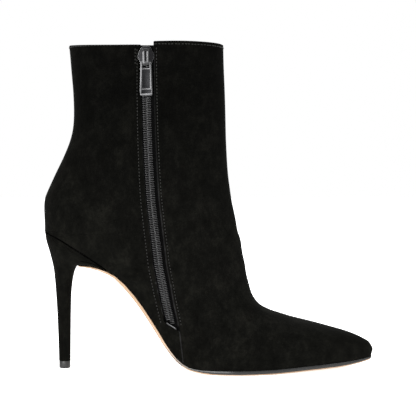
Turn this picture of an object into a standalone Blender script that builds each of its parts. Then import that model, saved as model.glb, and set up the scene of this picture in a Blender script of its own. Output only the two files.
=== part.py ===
"""Stiletto ankle bootie, the left shoe, with a coil zip on its inner side.

Metres, +Z up, +X towards the toe, +Y towards the outer side. The origin is the middle of the
top lift's contact with the floor.
"""

import math
from collections import namedtuple

import bmesh
import bpy
import numpy as np
from mathutils import Matrix, Vector

MM = 0.001

# Driving sizes of the shoe
SHOE_LENGTH = 237.2 * MM
HEEL_HEIGHT = 95.0 * MM
INSTEP_HEIGHT = 100.0 * MM
BOOT_HEIGHT = 231.4 * MM
BALL_WIDTH = 78.0 * MM
SHAFT_WIDTH = 56.0 * MM
WALL = 1.8 * MM
GAP = 0.3 * MM

# Sole, insole and heel
SOLE_THICK = 3.3 * MM
SOLE_BEVEL = 0.9 * MM
SOLE_MARGIN = 0.15 * MM
FLAP_THICK = 1.1 * MM
INSOLE_THICK = 2.0 * MM
INSOLE_CLEARANCE = 0.7 * MM
HEEL_INSET = 0.5 * MM
SEAT_GAP = 0.65 * MM
LIFT_HEIGHT = 5.2 * MM
LIFT_BEVEL = 0.5 * MM

# Zip
SLOT_BACK = 3.85 * MM
SLOT_FRONT = 5.6 * MM
FOLD_WIDTH = 3.0 * MM
FOLD_RISE = 0.5 * MM
PANEL_DROP = 1.8 * MM
PANEL_CROWN = 0.9 * MM
TAPE_HALF = 11.0 * MM
TAPE_CLEAR = 3.0 * MM
TAPE_THICK = 0.8 * MM
TAPE_TOP_INSET = 2.0 * MM
TAPE_BELOW = 7.0 * MM
END_SLANT = 0.85
SLANT_LENGTH = 14.0 * MM
CHAIN_HALF = 3.3 * MM
CHAIN_THICK = 1.9 * MM
CHAIN_ROUND = 0.5 * MM
STOP_LENGTH = 1.3 * MM
SLIDER_LENGTH = 13.0 * MM
SLIDER_HALF = 5.7 * MM
SLIDER_THICK = 1.3 * MM
SLIDER_TOP_INSET = 2.9 * MM
SLIDER_LIFT = 0.35 * MM
BRIDGE_WIDTH = 4.2 * MM
BRIDGE_STRIP = 0.9 * MM
BRIDGE_CLEAR = 1.7 * MM
BRIDGE_TOP = 4.9 * MM
BRIDGE_FOOT = 6.3 * MM
BRIDGE_SLOT = 1.4 * MM
HINGE_DOWN = 4.4 * MM
PULL_LENGTH = 23.8 * MM
PULL_HALF = 4.35 * MM
PULL_NECK_HALF = 3.8 * MM
PULL_THICK = 0.9 * MM
PULL_BAR = 1.0 * MM
PULL_EYE = 4.0 * MM
PULL_EYE_BAR = 0.6 * MM
PULL_EYE_HALF = 2.6 * MM
PULL_RIM = 0.9 * MM
PULL_RECESS = 0.25 * MM
PULL_PANEL = 13.2 * MM
PULL_PANEL_2 = 2.7 * MM

IN, OUT = -1, 1

Section = namedtuple(
    "Section",
    "low_x low_z top_x top_z top_y foot_in foot_out girth_in girth_out widest low_n top_n",
)

# Level cuts of the shaft, from the collar down. x is in shares of SHOE_LENGTH, z of BOOT_HEIGHT, and
# the half width of SHAFT_WIDTH. widest is the place of the widest spot, from the back seam (0) to the
# front (1), and back_n and front_n say how square the two ends are (2 is an ellipse).
# back_x, back_z, front_x, front_z, half_width, widest, back_n, front_n
SHAFT = (
    (0.018, 1.000, 0.483, 1.003, 0.500, 0.50, 2.2, 2.2),
    (0.024, 0.924, 0.485, 0.926, 0.497, 0.50, 2.2, 2.2),
    (0.030, 0.840, 0.488, 0.842, 0.491, 0.49, 2.2, 2.2),
    (0.031, 0.768, 0.490, 0.770, 0.489, 0.48, 2.2, 2.2),
    (0.022, 0.717, 0.491, 0.720, 0.493, 0.48, 2.2, 2.2),
    (-0.004, 0.649, 0.494, 0.652, 0.507, 0.47, 2.3, 2.2),
    (-0.037, 0.578, 0.500, 0.583, 0.527, 0.46, 2.4, 2.1),
    (-0.060, 0.508, 0.511, 0.510, 0.541, 0.45, 2.5, 2.1),
)

# Cuts of the foot, fanned from the heel's back point to the toe. The low end lies on the feather line,
# where the upper meets the sole, and the top end on the ridge of instep and vamp. x is in shares of
# SHOE_LENGTH, feather_z of HEEL_HEIGHT, ridge_z of INSTEP_HEIGHT, and ridge_y and the half widths, in
# (inner side) and out (outer side), of BALL_WIDTH.
# feather_x, feather_z, ridge_x, ridge_z, ridge_y, foot_in, foot_out, girth_in, girth_out, widest, low_n,
# top_n
FOOT = (
    (-0.0590, 1.0470, 0.5280, 1.000, 0.000, 0.000, 0.000, 0.377, 0.385, 0.44, 2.5, 2.1),
    (-0.0550, 1.0435, 0.5303, 0.978, 0.000, 0.095, 0.095, 0.375, 0.383, 0.44, 2.5, 2.1),
    (-0.0430, 1.0340, 0.5337, 0.948, 0.000, 0.175, 0.175, 0.372, 0.381, 0.44, 2.4, 2.1),
    (-0.0110, 1.0000, 0.5390, 0.890, -0.004, 0.255, 0.258, 0.370, 0.380, 0.44, 2.2, 2.1),
    (0.0460, 0.9175, 0.5480, 0.785, -0.010, 0.305, 0.318, 0.368, 0.380, 0.45, 1.9, 2.1),
    (0.1240, 0.7880, 0.5590, 0.635, -0.016, 0.296, 0.326, 0.368, 0.383, 0.46, 1.7, 2.1),
    (0.1840, 0.6670, 0.5720, 0.530, -0.022, 0.262, 0.308, 0.370, 0.388, 0.47, 1.6, 2.1),
    (0.2370, 0.5050, 0.5930, 0.470, -0.028, 0.242, 0.302, 0.376, 0.396, 0.46, 1.6, 2.1),
    (0.2830, 0.3300, 0.6140, 0.438, -0.034, 0.256, 0.316, 0.388, 0.410, 0.43, 1.6, 2.1),
    (0.3240, 0.1700, 0.6350, 0.414, -0.040, 0.296, 0.346, 0.408, 0.430, 0.39, 1.7, 2.1),
    (0.3590, 0.0790, 0.6560, 0.397, -0.044, 0.346, 0.388, 0.432, 0.456, 0.35, 1.8, 2.1),
    (0.3930, 0.0425, 0.6760, 0.384, -0.046, 0.390, 0.428, 0.456, 0.484, 0.32, 1.9, 2.1),
    (0.4420, 0.0340, 0.7010, 0.369, -0.048, 0.438, 0.474, 0.482, 0.510, 0.31, 2.0, 2.1),
    (0.5230, 0.0355, 0.7290, 0.352, -0.050, 0.468, 0.506, 0.494, 0.522, 0.30, 2.0, 2.0),
    (0.6210, 0.0405, 0.7620, 0.333, -0.050, 0.436, 0.470, 0.458, 0.484, 0.30, 2.0, 2.0),
    (0.7240, 0.0535, 0.8060, 0.306, -0.048, 0.346, 0.352, 0.366, 0.372, 0.31, 2.0, 2.0),
    (0.8180, 0.0660, 0.8620, 0.267, -0.044, 0.242, 0.218, 0.260, 0.236, 0.33, 2.0, 2.0),
    (0.8820, 0.0775, 0.9060, 0.222, -0.040, 0.160, 0.108, 0.174, 0.122, 0.35, 2.0, 2.0),
    (0.9180, 0.0920, 0.9270, 0.190, -0.036, 0.100, 0.034, 0.110, 0.044, 0.38, 2.0, 2.0),
    (0.9305, 0.0980, 0.9360, 0.155, -0.034, 0.060, -0.006, 0.066, 0.000, 0.42, 2.0, 2.0),
    (0.9330, 0.1010, 0.9378, 0.137, -0.033, 0.033, -0.033, 0.033, -0.033, 0.50, 2.0, 2.0),
)
TOP_ROW = len(SHAFT)
LAST_ROW = len(SHAFT) + len(FOOT) - 1

# Rows of the upper's grid between one cut of the tables and the next
SHAFT_STEPS = (2, 2, 1, 1, 2, 2, 2, 1)
FOOT_STEPS = (1, 1, 2, 2, 2, 2, 2, 2, 2, 2, 2, 2, 2, 2, 2, 2, 2, 2, 1, 1)

# The zip's middle line as the side view shows it, in shares of BOOT_HEIGHT and SHOE_LENGTH
# height, x
ZIP_PATH = (
    (1.000, 0.2550),
    (0.808, 0.2568),
    (0.570, 0.2667),
    (0.330, 0.2910),
    (0.214, 0.3105),
    (0.140, 0.3285),
    (0.033, 0.3610),
)
ZIP_END = 0.140

# Cuts of the heel, from its seat down to the top lift. x is in shares of SHOE_LENGTH, z of HEEL_HEIGHT
# and the half width of BALL_WIDTH. front_n says how square the breast side is.
# back_x, back_z, breast_x, breast_z, half_width, front_n
HEEL = (
    (-0.0560, 1.022, 0.1345, 0.7545, 0.302, 8.0),
    (-0.0540, 0.985, 0.1110, 0.7765, 0.292, 8.0),
    (-0.0497, 0.945, 0.0840, 0.7900, 0.276, 7.0),
    (-0.0445, 0.902, 0.0590, 0.7925, 0.250, 5.0),
    (-0.0398, 0.858, 0.0425, 0.7820, 0.219, 4.0),
    (-0.0356, 0.812, 0.0338, 0.7560, 0.187, 3.2),
    (-0.0315, 0.757, 0.0280, 0.7100, 0.154, 2.8),
    (-0.0283, 0.680, 0.0237, 0.6450, 0.121, 2.6),
    (-0.0252, 0.570, 0.0207, 0.5560, 0.094, 2.6),
    (-0.0217, 0.420, 0.0192, 0.4200, 0.077, 2.6),
    (-0.0188, 0.220, 0.0182, 0.2200, 0.066, 2.6),
    (-0.0168, 0.058, 0.0174, 0.0580, 0.061, 2.6),
)
HEEL_BACK_N = 2.3
HEEL_SIDE_POINTS = 14
FIRST_COVERED = 0.1345

# The outsole's flap on the heel's breast: its upper face, from its free end to the seat's front.
# x is in shares of SHOE_LENGTH, z of HEEL_HEIGHT, the half widths of BALL_WIDTH, thickness of FLAP_THICK
# x, z, half_in, half_out, thickness
FLAP = (
    (0.060, 0.7880, 0.150, 0.155, 0.5),
    (0.086, 0.7855, 0.240, 0.258, 1.0),
    (0.112, 0.7725, 0.282, 0.312, 1.2),
    (0.136, 0.7510, 0.288, 0.325, 1.4),
)
FLAP_JOIN = 0.162

# The outsole's thickness along the shoe, in shares of SHOE_LENGTH and SOLE_THICK
# x, thickness
SOLE = (
    (0.160, 0.48),
    (0.190, 0.66),
    (0.270, 0.66),
    (0.320, 0.55),
    (0.360, 0.47),
    (0.400, 0.60),
    (0.460, 0.92),
    (0.520, 1.00),
    (0.840, 1.00),
    (0.890, 0.74),
    (0.935, 0.62),
)

# The slider's outline from its top to its tail, in shares of half its length and of SLIDER_HALF
# down, width
SLIDER_SHAPE = (
    (-1.00, 0.26),
    (-0.90, 0.50),
    (-0.55, 0.74),
    (0.02, 1.00),
    (0.26, 0.95),
    (0.60, 0.76),
    (1.00, 0.66),
)

MATERIALS = {
    "suede": ((0.012, 0.011, 0.010), 0.95, 0.0),
    "sole_leather": ((0.50, 0.33, 0.20), 0.55, 0.0),
    "insole_board": ((0.10, 0.09, 0.08), 0.80, 0.0),
    "tip_rubber": ((0.03, 0.03, 0.03), 0.45, 0.0),
    "zip_tape_cloth": ((0.010, 0.010, 0.010), 0.90, 0.0),
    "zip_coil": ((0.015, 0.015, 0.015), 0.35, 0.0),
    "gunmetal": ((0.18, 0.18, 0.18), 0.30, 1.0),
}

HALF_STEPS = 36
TINY = 1e-9
PROFILE_STEPS = 400


def clear_scene():
    """Remove the objects that Blender starts with."""
    for old in list(bpy.data.objects):
        bpy.data.objects.remove(old, do_unlink=True)


def material(name):
    """A Principled material from the table."""
    colour, roughness, metallic = MATERIALS[name]
    made = bpy.data.materials.new(name)
    made.use_nodes = True
    shader = made.node_tree.nodes["Principled BSDF"]
    shader.inputs["Base Color"].default_value = (*colour, 1.0)
    shader.inputs["Roughness"].default_value = roughness
    shader.inputs["Metallic"].default_value = metallic
    return made


def add_object(name, vertices, faces, finish, smooth=True):
    """One closed or open mesh as a named object, with doubles merged and normals facing out."""
    mesh = bpy.data.meshes.new(name)
    mesh.from_pydata([tuple(v) for v in vertices], [], faces)
    work = bmesh.new()
    work.from_mesh(mesh)
    bmesh.ops.remove_doubles(work, verts=work.verts, dist=0.01 * MM)
    bmesh.ops.recalc_face_normals(work, faces=work.faces)
    work.to_mesh(mesh)
    work.free()
    if smooth:
        mesh.shade_smooth()
        mesh.set_sharp_from_angle(angle=math.radians(40))
    made = bpy.data.objects.new(name, mesh)
    made.data.materials.append(material(finish))
    PARTS.objects.link(made)
    return made


def ladder(count, flat):
    """Faces that close a ring with rungs from side to side. The last flat points a side lie on its
    straight front edge, and one face takes them all."""
    half = count // 2
    corner = half - flat
    faces = [(0, 1, count - 1)]
    faces += [(k, k + 1, count - k - 1, count - k) for k in range(1, corner - 1)]
    faces.append(tuple(range(corner - 1, count - corner + 2)))
    return faces


def loft(rings, first_cap=None):
    """Vertices and faces through closed rings with the same number of points."""
    count = len(rings[0])
    vertices = [p for ring in rings for p in ring]
    faces = []
    for r in range(len(rings) - 1):
        for i in range(count):
            j = (i + 1) % count
            faces.append((r * count + i, r * count + j, (r + 1) * count + j, (r + 1) * count + i))
    faces += first_cap or [tuple(reversed(range(count)))]
    faces.append(tuple((len(rings) - 1) * count + i for i in range(count)))
    return vertices, faces


def smooth_rows(rows, at):
    """Every column of a table at a row number that may lie between two rows, on a smooth curve that
    never swings past the rows."""
    last = len(rows) - 1
    i = min(int(at), last - 1)
    f = at - i
    step = rows[i + 1] - rows[i]
    before = rows[i] - rows[i - 1] if i > 0 else step
    after = rows[i + 2] - rows[i + 1] if i < last - 1 else step
    slopes = []
    for other in (before, after):
        same_way = step * other > 0
        total = np.where(same_way, step + other, 1.0)
        slopes.append(np.where(same_way, 2 * step * other / total, 0.0))
    return (
        rows[i]
        + f * f * (3 - 2 * f) * step
        + f * (1 - f) ** 2 * slopes[0]
        - f * f * (1 - f) * slopes[1]
    )


def section_rows():
    """Both tables as one list of sections in metres."""
    rows = []
    for back_x, back_z, front_x, front_z, half, widest, back_n, front_n in SHAFT:
        rows.append(
            Section(
                back_x * SHOE_LENGTH, back_z * BOOT_HEIGHT,
                front_x * SHOE_LENGTH, front_z * BOOT_HEIGHT, 0,
                0, 0, half * SHAFT_WIDTH, half * SHAFT_WIDTH, widest, back_n, front_n,
            )
        )
    for low_x, low_z, top_x, top_z, top_y, *halves, widest, low_n, top_n in FOOT:
        rows.append(
            Section(
                low_x * SHOE_LENGTH, low_z * HEEL_HEIGHT,
                top_x * SHOE_LENGTH, top_z * INSTEP_HEIGHT, top_y * BALL_WIDTH,
                *(half * BALL_WIDTH for half in halves), widest, low_n, top_n,
            )
        )
    return np.array(rows)


ROWS = section_rows()


def section(at):
    """The section at a row number."""
    return Section(*smooth_rows(ROWS, at))


def half_outline(cut, side):
    """One side of a section, from its low end to its top end, as (share along the cut, y)."""
    foot, girth = (cut.foot_in, cut.girth_in) if side == IN else (cut.foot_out, cut.girth_out)
    ridge = side * cut.top_y
    start = math.asin(min(max((foot - ridge) / (girth - ridge + TINY), 0), 1) ** (cut.low_n / 2))
    turn = np.linspace(start, math.pi / 2, HALF_STEPS)
    low_full = math.cos(start) ** (2 / cut.low_n) + TINY
    low_along = cut.widest * (1 - np.cos(turn) ** (2 / cut.low_n) / low_full)
    low_out = ridge + (girth - ridge) * np.sin(turn) ** (2 / cut.low_n)
    turn = np.linspace(0, math.pi / 2, HALF_STEPS)[1:]
    top_along = cut.widest + (1 - cut.widest) * np.sin(turn) ** (2 / cut.top_n)
    top_out = ridge + (girth - ridge) * np.maximum(np.cos(turn), 0) ** (2 / cut.top_n)
    along = np.concatenate([low_along, top_along])
    return along, side * np.concatenate([low_out, top_out])


def cut_points(at):
    """A section as a line of points from the inner feather over the ridge to the outer feather, with
    the length walked to each point and the length at the ridge."""
    cut = section(at)
    along_in, y_in = half_outline(cut, IN)
    along_out, y_out = half_outline(cut, OUT)
    along = np.concatenate([along_in, along_out[::-1][1:]])
    y = np.concatenate([y_in, y_out[::-1][1:]])
    points = np.stack(
        [
            cut.low_x + (cut.top_x - cut.low_x) * along,
            y,
            cut.low_z + (cut.top_z - cut.low_z) * along,
        ],
        axis=1,
    )
    walked = np.concatenate([[0], np.cumsum(np.linalg.norm(np.diff(points, axis=0), axis=1))])
    return points, walked, walked[len(along_in) - 1]


def walk(at, length):
    """The point of a section at a length from its inner end."""
    points, walked, _ = cut_points(at)
    return np.array([np.interp(length, walked, points[:, k]) for k in range(3)])


def zip_x(z):
    """Where the zip's middle line is at a height."""
    heights = [row[0] * BOOT_HEIGHT for row in ZIP_PATH]
    places = np.array([row[1] * SHOE_LENGTH for row in ZIP_PATH])
    if z >= heights[0]:
        return places[0]
    i = next(k for k in range(len(heights) - 1) if z >= heights[k + 1] or k == len(heights) - 2)
    return smooth_rows(places, i + (heights[i] - z) / (heights[i] - heights[i + 1]))


def zip_walk(at):
    """Length along a section's inner side at which it meets the zip's middle line."""
    points, walked, ridge = cut_points(at)
    inner = points[: 2 * HALF_STEPS - 1]
    ahead = np.array([p[0] - zip_x(p[2]) for p in inner])
    return float(np.interp(0, ahead, walked[: len(inner)]))


def zip_end_row():
    """Row number of the cut that passes through the zip's lower end."""
    low, high = float(TOP_ROW), float(LAST_ROW - 6)
    for _ in range(30):
        middle = (low + high) / 2
        if walk(middle, zip_walk(middle))[2] > ZIP_END * BOOT_HEIGHT:
            low = middle
        else:
            high = middle
    return low


END_ROW = zip_end_row()


def slant(at):
    """How much longer a width across the zip is when it is measured along a section."""
    here = zip_walk(at)
    along_cut = walk(at, here + MM) - walk(at, here - MM)
    near = max(at - 0.05, 0)
    far = near + 0.1
    along_zip = walk(far, zip_walk(far)) - walk(near, zip_walk(near))
    cosine = np.dot(along_cut, along_zip) / (np.linalg.norm(along_cut) * np.linalg.norm(along_zip))
    return 1 / math.sqrt(1 - cosine * cosine)


def beside_zip(at, across, depth=0.0):
    """A point beside the zip's middle line, across it towards the toe, and under the skin by depth."""
    here = zip_walk(at) + across * slant(at)
    point = walk(at, here)
    step = 0.5 * MM
    along_cut = walk(at, here + step) - walk(at, here - step)
    near = max(at - 0.1, 0)
    far = near + 0.2
    along_zip = walk(far, zip_walk(far) + across) - walk(near, zip_walk(near) + across)
    inward = np.cross(along_cut, along_zip)
    return point + depth * inward / np.linalg.norm(inward)


def grid_rows():
    """Row numbers of the upper's grid, with one row on the zip's lower end and room on both sides of it
    for the slot's slanted end."""
    rows = []
    for i, steps in enumerate(SHAFT_STEPS + FOOT_STEPS):
        rows += [i + k / steps for k in range(steps)]
    rows.append(LAST_ROW)
    nearest = min(range(len(rows)), key=lambda k: abs(rows[k] - END_ROW))
    rows[nearest] = END_ROW
    for beside, beyond in ((nearest - 1, nearest - 2), (nearest + 1, nearest + 2)):
        rows[beside] = (rows[beyond] + END_ROW) / 2
    return rows, nearest


BACK_COLUMNS, FRONT_COLUMNS = 7, 7
SIDE_COLUMNS = BACK_COLUMNS + 1 + 1 + FRONT_COLUMNS
RELAX_ROWS = 5.0


def inner_walks(at):
    """Lengths along a section's inner side at which the grid's columns cross it."""
    _, _, ridge = cut_points(at)
    on_zip = min(at, END_ROW)
    middle, wider = zip_walk(on_zip), slant(on_zip)
    back = middle - SLOT_BACK * wider
    front = middle + SLOT_FRONT * wider
    fold = front + FOLD_WIDTH * wider
    _, _, ridge_there = cut_points(on_zip)
    shares = np.concatenate(
        [
            np.linspace(0, back, BACK_COLUMNS + 1),
            [front],
            np.linspace(fold, ridge_there, FRONT_COLUMNS + 1),
        ]
    ) / ridge_there
    relax = min(max((at - END_ROW) / RELAX_ROWS, 0), 1)
    relax = relax * relax * (3 - 2 * relax)
    even = np.linspace(0, 1, SIDE_COLUMNS + 1)
    return ridge * ((1 - relax) * shares + relax * even)


def split_short_ways(shell):
    """Split every quad along its shorter diagonal, because the fan's quads slant near the heel."""
    work = bmesh.new()
    work.from_mesh(shell.data)
    bmesh.ops.triangulate(work, faces=work.faces, quad_method="SHORT_EDGE")
    work.to_mesh(shell.data)
    work.free()


def upper():
    """The lasted shell: a grid over the fanned cuts, less the zip's slot, given its wall inwards."""
    rows, end = grid_rows()
    columns = 2 * SIDE_COLUMNS + 1
    vertices = []
    for r, at in enumerate(rows):
        _, walked, ridge = cut_points(at)
        lengths = list(inner_walks(at))
        lengths += list(np.linspace(ridge, walked[-1], SIDE_COLUMNS + 1)[1:])
        line = [walk(at, length) for length in lengths]
        if r == 0:
            for c in range(BACK_COLUMNS + 1):
                line[c][2] -= PANEL_DROP * math.sin(math.pi / 2 * c / BACK_COLUMNS)
            for c in range(BACK_COLUMNS + 1, SIDE_COLUMNS + 1):
                share = (c - BACK_COLUMNS) / (FRONT_COLUMNS + 1)
                line[c][2] += PANEL_CROWN * math.sin(math.pi * share)
        vertices += line
    folded = BACK_COLUMNS + 1
    for r in range(end + 1):
        vertices[r * columns + folded][1] -= FOLD_RISE
    for column, across in ((BACK_COLUMNS, -SLOT_BACK), (folded, SLOT_FRONT)):
        turned = zip_row(ZIP_LENGTH + END_SLANT * across)
        vertices[end * columns + column] = beside_zip(turned, across)
    faces = []
    for r in range(len(rows) - 1):
        for c in range(columns - 1):
            if c == BACK_COLUMNS and r < end:
                continue
            a = r * columns + c
            faces.append((a, a + 1, a + columns + 1, a + columns))
    made = add_object("upper", vertices, faces, "suede")
    split_short_ways(made)
    wall = made.modifiers.new("wall", "SOLIDIFY")
    wall.thickness = WALL
    wall.offset = -1
    wall.use_quality_normals = True
    return made


def feather_profile():
    """The feather line's side view, as many points (x, z) from the heel's back to the toe."""
    cuts = [section(at) for at in np.linspace(TOP_ROW, LAST_ROW, PROFILE_STEPS)]
    return np.array([cut.low_x for cut in cuts]), np.array([cut.low_z for cut in cuts])


PROFILE_X, PROFILE_Z = feather_profile()


def feather_z(x):
    """Height of the feather line at x. It runs on straight behind the heel's back point."""
    if x < PROFILE_X[0]:
        slope = (PROFILE_Z[1] - PROFILE_Z[0]) / (PROFILE_X[1] - PROFILE_X[0])
        return PROFILE_Z[0] + (x - PROFILE_X[0]) * slope
    return float(np.interp(x, PROFILE_X, PROFILE_Z))


def feather(at, side, margin=0.0, lower=0.0):
    """A point of the feather line on one side, moved outwards in plan by margin and sunk by lower."""
    step = 0.02
    near, far = section(max(at - step, TOP_ROW)), section(min(at + step, LAST_ROW))
    here = section(at)
    half = here.foot_in if side == IN else here.foot_out
    run = far.low_x - near.low_x
    widen = (far.foot_in - near.foot_in) if side == IN else (far.foot_out - near.foot_out)
    size = math.hypot(run, widen)
    x = here.low_x - margin * widen / size
    y = side * (half + margin * run / size)
    reach = 2 * MM
    slope = math.atan2(feather_z(x + reach) - feather_z(x - reach), 2 * reach)
    return Vector((x + lower * math.sin(slope), y, feather_z(x) - lower * math.cos(slope)))


def plate_ring(at, margin, upper_face, thickness, bevel):
    """A closed ring across a plate that follows the feather line."""
    low = upper_face + thickness
    return [
        feather(at, IN, margin, upper_face),
        feather(at, OUT, margin, upper_face),
        feather(at, OUT, margin, low - bevel),
        feather(at, OUT, margin - bevel, low),
        feather(at, IN, margin - bevel, low),
        feather(at, IN, margin, low - bevel),
    ]


def row_at_x(x):
    """Row number of the cut whose feather point has this x."""
    low, high = float(TOP_ROW), float(LAST_ROW)
    for _ in range(40):
        middle = (low + high) / 2
        if section(middle).low_x < x:
            low = middle
        else:
            high = middle
    return low


def sole_thickness(at):
    """Thickness at a row number: thin at the heel and where the arch meets the ball, full under the foot."""
    places, shares = zip(*SOLE)
    return SOLE_THICK * float(np.interp(section(at).low_x / SHOE_LENGTH, places, shares))


def outsole():
    """The flap on the heel's breast and the sole under waist and forefoot, as one plate."""
    rings = []
    for x, z, half_in, half_out, thick in FLAP:
        top = Vector((x * SHOE_LENGTH, 0, z * HEEL_HEIGHT - GAP))
        down = Vector((0, 0, -thick * FLAP_THICK))
        reach = [Vector((0, -half_in * BALL_WIDTH, 0)), Vector((0, half_out * BALL_WIDTH, 0))]
        edge = SOLE_BEVEL * 0.5
        rings.append(
            [
                top + reach[0],
                top + reach[1],
                top + reach[1] + down * 0.6,
                top + reach[1] + down - Vector((0, edge, 0)),
                top + reach[0] + down + Vector((0, edge, 0)),
                top + reach[0] + down * 0.6,
            ]
        )
    first = row_at_x(FLAP_JOIN * SHOE_LENGTH)
    waist_and_ball = np.arange(first, LAST_ROW - 2, 0.5)
    toe = np.linspace(LAST_ROW - 2, LAST_ROW - 0.12, 7)
    stations = np.concatenate([waist_and_ball, toe])
    for at in stations:
        thick = sole_thickness(at)
        bevel = min(SOLE_BEVEL, 0.45 * thick)
        ring = plate_ring(at, SOLE_MARGIN, GAP, thick, bevel)
        for point in ring[3:5]:
            point.z = max(point.z, 0.0)
        rings.append(ring)
    return add_object("outsole", *loft(rings), "sole_leather")


def insole():
    """The board inside the upper, level with its lower edge."""
    margin = -(WALL + INSOLE_CLEARANCE)
    stations = np.concatenate(
        [
            np.linspace(TOP_ROW + 0.12, TOP_ROW + 3, 8),
            np.arange(TOP_ROW + 3.5, LAST_ROW - 2, 0.5),
            np.linspace(LAST_ROW - 2, LAST_ROW - 0.9, 5),
        ]
    )
    rings = []
    for at in stations:
        rings.append(
            [
                feather(at, IN, margin, -INSOLE_THICK),
                feather(at, OUT, margin, -INSOLE_THICK),
                feather(at, OUT, margin, 0),
                feather(at, IN, margin, 0),
            ]
        )
    return add_object("insole", *loft(rings), "insole_board")


def heel_ring(back_x, back_z, breast_x, breast_z, half, front_n):
    """A ring of the heel, round at the back and square or round at the breast."""
    lowest = LIFT_HEIGHT + GAP
    back = Vector((back_x * SHOE_LENGTH, 0, max(back_z * HEEL_HEIGHT, lowest)))
    breast = Vector((breast_x * SHOE_LENGTH, 0, max(breast_z * HEEL_HEIGHT, lowest)))
    widest = 0.55
    one_side = []
    for k in range(HEEL_SIDE_POINTS + 1):
        turn = math.pi * k / HEEL_SIDE_POINTS
        if turn <= math.pi / 2:
            along = widest * (1 - math.cos(turn) ** (2 / HEEL_BACK_N))
            out = math.sin(turn) ** (2 / HEEL_BACK_N)
        else:
            rest = turn - math.pi / 2
            along = widest + (1 - widest) * math.sin(rest) ** (2 / front_n)
            out = max(math.cos(rest), 0.0) ** (2 / front_n)
        one_side.append((along, out * half * BALL_WIDTH))
    ring = [back.lerp(breast, along) + Vector((0, out, 0)) for along, out in one_side]
    ring += [back.lerp(breast, along) - Vector((0, out, 0)) for along, out in reversed(one_side[1:-1])]
    return ring


def seat_ring():
    """The heel's top ring: the feather outline from the back point to the seat's front edge."""
    front = row_at_x(FIRST_COVERED * SHOE_LENGTH)
    side_steps = HEEL_SIDE_POINTS - 3
    places = [TOP_ROW + (front - TOP_ROW) * (k / side_steps) ** 1.1 for k in range(1, side_steps + 1)]
    back = feather(TOP_ROW + 0.001, OUT, 0, SEAT_GAP)
    back.y = 0
    back.x += HEEL_INSET
    halves = []
    for side in (OUT, IN):
        line = [feather(at, side, -HEEL_INSET, SEAT_GAP) for at in places]
        edge = line[-1]
        line += [Vector((edge.x, edge.y * share, edge.z)) for share in (0.66, 0.33)]
        halves.append(line)
    middle = halves[0][-1].copy()
    middle.y = 0
    return [back, *halves[0], middle, *reversed(halves[1])]


def heel_rows():
    """The heel's table with a smooth row halfway between each two."""
    places = np.arange(0, len(HEEL) - 0.75, 0.5)
    return [smooth_rows(np.array(HEEL), at) for at in places]


def heel():
    """The covered heel: the seat's outline above, then its cuts down to the top lift."""
    rings = [seat_ring()] + [heel_ring(*row) for row in heel_rows()]
    return add_object("heel", *loft(rings, ladder(len(rings[0]), 2)), "suede")


def top_lift():
    """The rubber tip: the heel's last ring carried down to the floor, with a small bevel."""
    last = HEEL[-1]
    rings = []
    for height, inset in (
        (LIFT_HEIGHT, 0.0),
        (LIFT_BEVEL, 0.0),
        (0.0, LIFT_BEVEL),
    ):
        ring = heel_ring(*last)
        centre = sum(ring, Vector()) / len(ring)
        for point in ring:
            point.x += -inset if point.x > centre.x else inset
            point.y -= math.copysign(min(abs(point.y), inset), point.y)
            point.z = height
        rings.append(ring)
    return add_object("top_lift", *loft(rings), "tip_rubber")


def zip_lengths():
    """Row numbers down the zip and past its end, and the length from the collar to each of them."""
    rows = np.linspace(0, END_ROW + 1.5, 180)
    points = np.array([walk(at, zip_walk(at)) for at in rows])
    lengths = np.concatenate([[0], np.cumsum(np.linalg.norm(np.diff(points, axis=0), axis=1))])
    return rows, lengths


ZIP_ROWS, ZIP_LENGTHS = zip_lengths()
ZIP_LENGTH = float(np.interp(END_ROW, ZIP_ROWS, ZIP_LENGTHS))
TAPE_DEPTH = WALL + 1.5 * GAP


def zip_row(length):
    """The row number at a length down the zip."""
    return float(np.interp(length, ZIP_LENGTHS, ZIP_ROWS))


def strip_lengths(start, stop):
    """Lengths down the zip at the upper's own grid rows, with both ends of a strip."""
    own = [float(np.interp(at, ZIP_ROWS, ZIP_LENGTHS)) for at in grid_rows()[0]]
    return [start, *(length for length in own if start + MM < length < stop - MM), stop]


def strip(name, lengths, profile, finish, slanted=True):
    """A strip that follows the zip: its profile is (across, depth) points in order round it. Near the
    zip's end its cuts turn until they run level with the sole."""
    rings = []
    for length in lengths:
        turned = min(max(1 - (ZIP_LENGTH - length) / SLANT_LENGTH, 0), 1)
        lean = END_SLANT * turned * turned * (3 - 2 * turned) if slanted else 0
        ring = [
            beside_zip(zip_row(length + lean * across), across, depth)
            for across, depth in profile(zip_row(length))
        ]
        rings.append(ring)
    return add_object(name, *loft(rings), finish)


def tape_profile(at):
    """The tape's cut, whose back edge stays clear of the feather near the zip's end."""
    room = zip_walk(at) / slant(at) - TAPE_CLEAR
    back = -min(TAPE_HALF, room)
    across = (back, back / 2, 0, TAPE_HALF / 2, TAPE_HALF)
    return [(a, TAPE_DEPTH) for a in across] + [(a, TAPE_DEPTH + TAPE_THICK) for a in reversed(across)]


def zip_tape():
    """The woven tape behind the slot."""
    lengths = strip_lengths(TAPE_TOP_INSET, ZIP_LENGTH + TAPE_BELOW)
    return strip("zip_tape", lengths, tape_profile, "zip_tape_cloth", slanted=False)


def chain_profile(_):
    """The chain's cut: a low block with rounded upper edges."""
    low = TAPE_DEPTH - GAP
    high = low - CHAIN_THICK
    half, bent = CHAIN_HALF, CHAIN_HALF - CHAIN_ROUND
    return [
        (-half, low), (half, low), (half, high + CHAIN_ROUND), (bent, high), (-bent, high),
        (-half, high + CHAIN_ROUND),
    ]


def zip_chain():
    """The closed coils, from the collar to just above the stop."""
    stop = ZIP_LENGTH - 2 * GAP - STOP_LENGTH
    return strip("zip_chain", strip_lengths(TAPE_TOP_INSET, stop), chain_profile, "zip_coil")


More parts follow.
